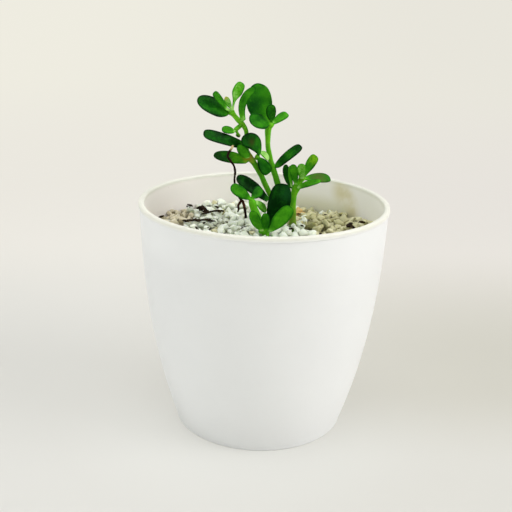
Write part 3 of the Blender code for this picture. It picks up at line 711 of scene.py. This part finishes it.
def build_gravel(stones, draw):
    shapes = [stone_shape(draw) for _ in range(STONE_SHAPES)]
    names = ("gravel_white", "gravel_grey", "gravel_beige", "gravel_cream", "gravel_amber")
    groups = {name: [] for name in names}
    for x, y, z, radius in stones:
        groups[stone_group(x, y, draw)].append((x, y, z, radius))
    # The white and grey stones are tinted green as painted light, the cast from the plant; each last colour
    # is the soil dusting and painted shade in the gaps.
    looks = {
        "gravel_white": stone_material(
            "marble_white", (0.86, 0.92, 0.80), (0.66, 0.72, 0.60), (0.82, 0.83, 0.69), (0.58, 0.59, 0.46)
        ),
        "gravel_grey": stone_material(
            "marble_grey", (0.78, 0.84, 0.74), (0.58, 0.64, 0.53), (0.72, 0.70, 0.56), (0.50, 0.51, 0.38)
        ),
        "gravel_beige": stone_material(
            "marble_beige", (0.70, 0.65, 0.49), (0.47, 0.42, 0.29), (0.57, 0.49, 0.34), (0.35, 0.30, 0.19)
        ),
        "gravel_cream": stone_material(
            "marble_cream", (0.72, 0.70, 0.46), (0.42, 0.41, 0.21), (0.57, 0.51, 0.27), (0.29, 0.26, 0.11)
        ),
        "gravel_amber": stone_material(
            "marble_amber", (0.70, 0.48, 0.18), (0.52, 0.31, 0.08), (0.62, 0.52, 0.30), (0.28, 0.18, 0.05)
        ),
    }
    for group, rows in groups.items():
        points, triangles, tint, depth = [], [], [], []
        count = 0
        for x, y, z, radius in rows:
            shape, faces = draw.choice(shapes)
            ranges = ((1.0, 1.3), (0.9, 1.1), (0.75, 0.95))
            size = np.array([draw.uniform(*ends) for ends in ranges]) * radius
            turn = Matrix.Rotation(draw.uniform(0, 2 * math.pi), 3, "Z")
            turn = turn @ Matrix.Rotation(draw.gauss(0, 0.35), 3, "X")
            turn = turn @ Matrix.Rotation(draw.gauss(0, 0.35), 3, "Y")
            moved = (shape * size) @ np.array(turn).T + (x, y, z)
            points.append(moved)
            triangles.append(faces + count)
            count += len(shape)
            tint.append(np.full(len(shape), stone_tint(x, y, draw)))
            depth.append(np.clip((gravel_top(x, y) - 1.2 - moved[:, 2]) / 3, 0, 1))
        mesh = bpy.data.meshes.new(group)
        mesh.from_pydata((np.vstack(points) * MM).tolist(), [], np.vstack(triangles).tolist())
        add_values(mesh, "tint", np.concatenate(tint))
        add_values(mesh, "depth", np.concatenate(depth))
        replaced = ["gravel_bed"] if group == "gravel_white" else []
        finish_mesh(group, mesh, looks[group], replaced)
    ground = GRAVEL_TOP - GRAVEL_LAYER
    inner = wall_radius(ground) - WALL - 0.4
    profile = [(0, 81.6), (inner - 0.6, 81.6), (inner, ground)]
    profile += [(inner * k / 24, ground) for k in range(23, -1, -1)]
    bed = turned("gravel_ground", profile, 96)
    for vertex in bed.vertices:
        if vertex.co.z > (ground - 1) * MM:
            level = gravel_top(vertex.co.x / MM, vertex.co.y / MM) - GRAVEL_LAYER
            vertex.co.z = (level + 0.5 * noise.noise(vertex.co * 400)) * MM
    finish_mesh("gravel_ground", bed, bed_material())


def seat(stones, x, y):
    """Height of the stones' tops under a place."""
    away = np.hypot(stones[:, 0] - x, stones[:, 1] - y)
    near = away < stones[:, 3]
    if not near.any():
        return gravel_top(x, y) - 0.5
    return float((stones[near, 2] + 0.8 * np.sqrt(stones[near, 3] ** 2 - away[near] ** 2)).max())


def add_splinter(bm, place, length, thickness, heading, draw):
    """One bent, uneven splinter of bark, with its middle at a place and its heading in degrees."""
    made = bmesh.ops.create_icosphere(bm, subdivisions=3, radius=0.5)
    turn = Matrix.Rotation(math.radians(heading), 3, "Z") @ Matrix.Rotation(draw.gauss(0, 0.15), 3, "Y")
    seed = Vector((place[0], place[1], heading))
    bend = draw.uniform(-0.25, 0.25) * length
    for vertex in made["verts"]:
        uneven = 1 + 0.5 * noise.noise(vertex.co * 2.5 + seed) + 0.3 * noise.noise(vertex.co * 7 + seed)
        local = vertex.co * uneven
        side = local.y * thickness + bend * (local.x**2 - 0.1)
        local = turn @ Vector((local.x * length, side, local.z * thickness * 0.75))
        vertex.co = (local + Vector(place)) * MM


def build_bark(stones, draw):
    """The bark chips, each a bundle of torn splinters, and the crumbs that lie round them."""
    skin = bark_material()
    bundles = [
        (f"bark_piece_{number:02d}", rows, [f"bark_chip_{number:02d}"])
        for number, rows in enumerate(CHIPS, 1)
    ]
    bundles.append(("litter_crumbs", [(*row, 0) for row in LITTER], []))
    for name, rows, nodes in bundles:
        bm = bmesh.new()
        for x, y, length, thickness, heading, lift in rows:
            # A splinter bridges the stones, so it lies on the highest one under its middle or near its ends
            reach = Vector((math.cos(math.radians(heading)), math.sin(math.radians(heading)))) * length / 3
            under = max(seat(stones, x + reach.x * share, y + reach.y * share) for share in (-1, 0, 1))
            place = (x, y, under + thickness * 0.3 + lift)
            add_splinter(bm, place, length, thickness, heading, draw)
        mesh = bpy.data.meshes.new(name)
        bm.to_mesh(mesh)
        bm.free()
        finish_mesh(name, mesh, skin, nodes)


# Plant


def smooth_run(run, per_span):
    """Rows on a smooth curve through a run's rows."""
    rows = np.array(run, float)
    ends = np.vstack([2 * rows[0] - rows[1], rows, 2 * rows[-1] - rows[-2]])
    curve = []
    for p0, p1, p2, p3 in zip(ends, ends[1:], ends[2:], ends[3:]):
        for k in range(per_span):
            u = k / per_span
            curve.append(
                p1 + (p2 - p0) * u / 2 + (2 * p0 - 5 * p1 + 4 * p2 - p3) * u**2 / 2
                + (3 * p1 - p0 - 3 * p2 + p3) * u**3 / 2
            )
    return np.array(curve + [rows[-1]])


def unit(vector):
    return vector / max(np.linalg.norm(vector), 1e-9)


def ring_mesh(name, rings):
    """A closed skin over rings of points, with a middle point at each end."""
    count, sides = rings.shape[:2]
    points = np.vstack([rings.reshape(-1, 3), rings[0].mean(0), rings[-1].mean(0)])
    faces = []
    for i in range(count - 1):
        for j in range(sides):
            k = (j + 1) % sides
            faces.append((i * sides + j, i * sides + k, (i + 1) * sides + k, (i + 1) * sides + j))
    first, last = count * sides, count * sides + 1
    faces += [(first, (j + 1) % sides, j) for j in range(sides)]
    top = (count - 1) * sides
    faces += [(last, top + j, top + (j + 1) % sides) for j in range(sides)]
    mesh = bpy.data.meshes.new(name)
    mesh.from_pydata((points * MM).tolist(), [], faces)
    bm = bmesh.new()
    bm.from_mesh(mesh)
    bmesh.ops.recalc_face_normals(bm, faces=bm.faces)
    bm.to_mesh(mesh)
    bm.free()
    return mesh


def swept(run, sides, per_span, rough, grain, joints=()):
    """Rings round a run, uneven by a share of the radius, swollen at the joints' places, with a round end."""
    curve = smooth_run(run, per_span)
    centres = curve[:, :3] + (0, 0, GRAVEL_TOP)
    radii = curve[:, 3].copy()
    for joint in joints:
        gap = np.linalg.norm(centres - joint, axis=1)
        radii *= 1 + 0.16 * np.exp(-((gap / 1.5) ** 2))
    heading = unit(centres[1] - centres[0])
    across = unit(np.cross(heading, (0.3, 1, 0.2)))
    end = centres[-1] - centres[-2]
    for share, shrink in ((0.45, 0.85), (0.75, 0.6), (0.92, 0.3)):
        cap = curve[-1, :3] + (0, 0, GRAVEL_TOP) + unit(end) * curve[-1, 3] * share
        centres = np.vstack([centres, cap])
        radii = np.append(radii, curve[-1, 3] * shrink)
    rings = []
    for i, centre in enumerate(centres):
        ahead = centres[min(i + 1, len(centres) - 1)] - centres[max(i - 1, 0)]
        heading = unit(ahead)
        across = unit(across - heading * across.dot(heading))
        other = np.cross(heading, across)
        ring = []
        for j in range(sides):
            turn = 2 * math.pi * j / sides
            out = across * math.cos(turn) + other * math.sin(turn)
            point = centre + out * radii[i]
            uneven = noise.noise(Vector(point * (grain, grain, grain * 0.35)))
            ring.append(point + out * radii[i] * rough * uneven)
        rings.append(ring)
    return np.array(rings)


def planted(points):
    """The run with its foot carried a little way down between the stones."""
    x, y, _, radius = points[0]
    return [(x, y, -5, radius), (x, y, -2.5, radius)] + points


def leaf_half_width(leaf, t):
    """Half width at t along a leaf: a neck that opens to the widest point and a round tip."""
    if t < leaf.widest:
        opening = math.sin(math.pi / 2 * t / leaf.widest) ** leaf.taper
        return (leaf.neck + (leaf.width - leaf.neck) * opening) / 2
    beyond = min((t - leaf.widest) / (1 - leaf.widest), 1)
    return leaf.width / 2 * (1 - beyond**leaf.blunt) ** (1 / leaf.blunt)


def leaf_half_depth(leaf, t):
    full = 0.9 + 0.1 * leaf.width
    round_tip = math.sqrt(max(0, 1 - (1 - min((1 - t) / 0.22, 1)) ** 2))
    return full / 2 * (0.75 + 0.25 * math.sin(math.pi * t)) * round_tip


def build_leaf(leaf, joint, material):
    """A thick spoon-shaped leaf whose foot runs into the stem at joint."""
    base = np.array((*leaf.base[:2], GRAVEL_TOP + leaf.base[2]), float)
    tip = np.array((*leaf.tip[:2], GRAVEL_TOP + leaf.tip[2]), float)
    along = unit(tip - base)
    facing = np.array(leaf.facing, float)
    normal = unit(facing - facing.dot(along) * along)
    across = np.cross(normal, along)
    bend = 4 * (normal * leaf.arch + across * leaf.sway)
    start = unit(tip - base + bend)
    rings, t_values, rim_values = [], [], []

    def add_ring(middle, heading, half_width, half_depth, t, cup):
        upward = unit(normal - normal.dot(heading) * heading)
        sideways = np.cross(upward, heading)
        ring = []
        for j in range(LEAF_SIDES):
            turn = 2 * math.pi * j / LEAF_SIDES
            c, s = math.cos(turn), math.sin(turn)
            side = half_width * math.copysign(abs(c) ** 0.92, c)
            if s > 0:
                lift = half_depth * s * (0.82 - 0.3 * cup * math.exp(-((c / 0.35) ** 2)))
            else:
                lift = half_depth * s * 1.1
            lift += cup * 0.16 * half_width * (c * c - 0.4)
            point = middle + sideways * side + upward * lift
            point = point + upward * 0.11 * cup * noise.noise(Vector(point * 0.28))
            ring.append(point)
            rim_values.append(abs(c))
            t_values.append(t)
        rings.append(ring)

    for share, shrink in ((0.0, 0.6), (0.35, 0.8), (0.7, 0.95)):
        spot = joint + (base - joint) * share
        heading = unit(base - joint) * (1 - share) + start * share
        add_ring(spot, heading, leaf.neck * 0.5 * shrink, min(leaf.neck, 1.5) * 0.42 * shrink, 0.0, 0)
    for i in range(LEAF_SECTIONS + 1):
        t = (1 - math.cos(math.pi * (0.06 + 0.937 * i / LEAF_SECTIONS))) / 2
        t = (t - 0.0088) / (1 - 0.0088)
        middle = base + (tip - base) * t + bend * t * (1 - t)
        heading = unit(tip - base + bend * (1 - 2 * t))
        cup = min(1, t / 0.3)
        add_ring(middle, heading, leaf_half_width(leaf, t), leaf_half_depth(leaf, t), t, cup)
    mesh = ring_mesh(f"leaf_{leaf.name}_blade", np.array(rings))
    ends = [(0.0, 0.0), (1.0, 1.0)]
    rim = np.array(rim_values + [value for value, _ in ends])
    t_all = np.array(t_values + [value for _, value in ends])
    tip_rim = np.clip((t_all - 0.86) / 0.14, 0, 1)
    add_values(mesh, "rim", np.maximum(rim, tip_rim))
    add_values(mesh, "along", t_all)
    add_values(mesh, "tone", np.full(len(t_all), leaf.tone))
    finish_mesh(mesh.name, mesh, material, ["leaf_" + leaf.name])


def build_plant():
    stems = {
        "stem_left": planted(STEM_LEFT), "stem_right": planted(STEM_RIGHT), "stem_side": planted(STEM_SIDE),
        "stem_low": planted(STEM_LOW), "twig_left": TWIG_LEFT, "twig_middle": TWIG_MIDDLE,
    }
    paths = {name: smooth_run(run, 10)[:, :3] + (0, 0, GRAVEL_TOP) for name, run in stems.items()}
    joints = {}
    for leaf in LEAVES:
        base = np.array((*leaf.base[:2], GRAVEL_TOP + leaf.base[2]))
        found = [(float(np.linalg.norm(path - base, axis=1).min()), name) for name, path in paths.items()]
        gap, name = min(found)
        path = paths[name]
        joints[leaf.name] = (name, path[np.linalg.norm(path - base, axis=1).argmin()])
    skin = stem_material()
    for name, run in stems.items():
        at = [spot for stem, spot in joints.values() if stem == name]
        rings = swept(run, 20, 8, 0.10, 0.6, at)
        mesh = ring_mesh(name + "_skin", rings)
        count = len(rings)
        young = np.repeat(np.linspace(0.0, 1.0, count), 20)
        add_values(mesh, "along", np.append(young, (0.0, 1.0)))
        finish_mesh(name + "_skin", mesh, skin, [name])
    tendril = ring_mesh("tendril_left_skin", swept(TENDRIL, 12, 8, 0.15, 1.5))
    dry = root_material()
    add_values(tendril, "along", np.zeros(len(tendril.vertices)))
    finish_mesh("tendril_left_skin", tendril, skin, ["tendril_left"])
    root = ring_mesh("aerial_root_skin", swept(planted(ROOT), 12, 10, 0.35, 1.1))
    finish_mesh("aerial_root_skin", root, dry, ["aerial_root"])
    fork = ring_mesh("aerial_root_fork_skin", swept(ROOT_FORK, 10, 10, 0.35, 1.1))
    finish_mesh("aerial_root_fork_skin", fork, dry, ["aerial_root_fork"])
    looks = {
        "dark": leaf_material("leaf_dark_skin", 0.42, DARK_MARKS),
        "mid": leaf_material("leaf_mid_skin", 0.45, MID_MARKS),
        "young": leaf_material("leaf_young_skin", 0.48, YOUNG_MARKS),
    }
    for leaf in LEAVES:
        build_leaf(leaf, joints[leaf.name][1], looks[leaf.look])


# Stage


def floor_material():
    """Pale sheet: lit like paper near the pot, fading to a plain backdrop for the camera, with painted shade
    towards the right, a painted shadow of the pot next to it and painted light at its foot.
    """
    shader = Shader("table_pale")
    parts = shader.node("SeparateXYZ", Vector=shader.place()).outputs
    # Painted shade: the floor and backdrop are darker towards the right.
    side = shader.span(parts["X"], -0.12, 0.12)
    wide = shader.span(parts["X"], -0.5, 0.5)
    sheet = shader.mix(side, (0.775, 0.775, 0.745), (0.715, 0.705, 0.655))
    shader.set(Base_Color=sheet, Roughness=0.8, Specular_IOR_Level=0.1)
    # Painted shadow of the pot on the floor next to it, stronger to the right.
    painted_pot_shadow = shader.mix(side, (0.69, 0.68, 0.635), (0.57, 0.555, 0.48))
    behind = shader.mix(side, (0.83, 0.805, 0.74), (0.80, 0.77, 0.72))
    backdrop = shader.mix(wide, (0.86, 0.84, 0.75), (0.81, 0.79, 0.715))
    front = shader.mix(side, (0.71, 0.70, 0.655), (0.70, 0.69, 0.645))
    # Painted light: the floor is paler right at the pot's foot.
    front = shader.mix(shader.span(shader.reach(), 0.045, 0.10), (0.80, 0.80, 0.755), front)
    plain = shader.mix(shader.span(parts["Y"], -0.05, 0.03), front, painted_pot_shadow)
    plain = shader.mix(shader.span(parts["Y"], 0.06, 0.26), plain, behind)
    plain = shader.mix(shader.span(parts["Y"], 0.3, 1.2), plain, backdrop)
    glow = shader.node("Emission", Color=plain, Strength=1.0)
    rays = shader.node("LightPath").outputs
    seen = shader.math("MAXIMUM", rays["Is Camera Ray"], rays["Is Glossy Ray"])
    seen = shader.math("MAXIMUM", seen, rays["Is Transmission Ray"])
    share = shader.math("MULTIPLY", seen, shader.span(shader.reach(), 0.05, 0.5, FLOOR_EVEN_SHARE, 1.0))
    blend = shader.node("MixShader", Fac=share)
    shader.put(blend.inputs[1], shader.body.outputs[0])
    shader.put(blend.inputs[2], glow.outputs[0])
    shader.put(shader.tree.nodes["Material Output"].inputs["Surface"], blend.outputs[0])
    return shader.material


def build_stage():
    turns = [math.radians(a) for a in range(6, 91, 6)]
    bend = [(FLOOR_FLAT + FLOOR_BEND * math.sin(a), FLOOR_BEND - FLOOR_BEND * math.cos(a)) for a in turns]
    profile = [(0, 0), (FLOOR_FLAT, 0), *bend, (FLOOR_FLAT + FLOOR_BEND, BACKDROP_TOP)]
    bm = bmesh.new()
    points = [bm.verts.new((radius * MM, 0, z * MM)) for radius, z in profile]
    edges = [bm.edges.new(pair) for pair in zip(points, points[1:])]
    bmesh.ops.spin(bm, geom=points + edges, cent=(0, 0, 0), axis=(0, 0, 1), angle=2 * math.pi, steps=96)
    bmesh.ops.remove_doubles(bm, verts=bm.verts, dist=0.000001)
    bmesh.ops.recalc_face_normals(bm, faces=bm.faces)
    mesh = bpy.data.meshes.new("floor")
    bm.to_mesh(mesh)
    bm.free()
    for polygon in mesh.polygons:
        upright = abs(polygon.normal.z) < 0.01
        if polygon.normal.z < -0.01 or (upright and polygon.normal.dot(polygon.center) > 0):
            polygon.flip()
    mesh.shade_smooth()
    mesh.materials.append(floor_material())
    floor = bpy.data.objects.new("floor", mesh)
    bpy.context.scene.collection.objects.link(floor)
    floor.visible_shadow = False

    world = bpy.data.worlds.new("studio")
    world.use_nodes = True
    background = world.node_tree.nodes["Background"]
    background.inputs["Color"].default_value = (0.97, 0.985, 1.0, 1)
    background.inputs["Strength"].default_value = STUDIO_STRENGTH
    bpy.context.scene.world = world

    for row in LAMPS:
        lamp(*row)


def lamp(name, place, size, power, colour):
    """A square soft light that faces the middle of the object."""
    data = bpy.data.lights.new(name, "AREA")
    data.shape = "SQUARE"
    data.size = size
    data.energy = power
    data.color = colour
    made = bpy.data.objects.new(name, data)
    made.location = place
    made.rotation_euler = (Vector((0, 0, 0.08)) - Vector(place)).to_track_quat("-Z", "Y").to_euler()
    bpy.context.scene.collection.objects.link(made)


def build_camera():
    data = bpy.data.cameras.new("camera")
    data.sensor_width = 36
    data.lens = CAMERA_LENS
    data.clip_end = 20
    camera = bpy.data.objects.new("camera", data)
    target = Vector(CAMERA_TARGET) * MM
    tilt = math.radians(CAMERA_TILT)
    camera.location = target + Vector((0, -math.cos(tilt), math.sin(tilt))) * CAMERA_DISTANCE
    aim = (target - camera.location).to_track_quat("-Z", "Y").to_matrix()
    turn = aim @ Matrix.Rotation(math.radians(CAMERA_ROLL), 3, "Z")
    camera.rotation_euler = turn.to_euler()
    bpy.context.scene.collection.objects.link(camera)
    bpy.context.scene.camera = camera


scene = bpy.context.scene
scene.view_settings.view_transform = "Standard"
build_camera()
build_stage()
build_pot()
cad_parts["potting_soil"].data.materials.clear()
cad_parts["potting_soil"].data.materials.append(soil_material())
draw_gravel = random.Random(GRAVEL_SEED)
stone_rows = settle_stones(draw_gravel)
build_gravel(stone_rows, draw_gravel)
build_plant()
build_bark(stone_rows, draw_gravel)
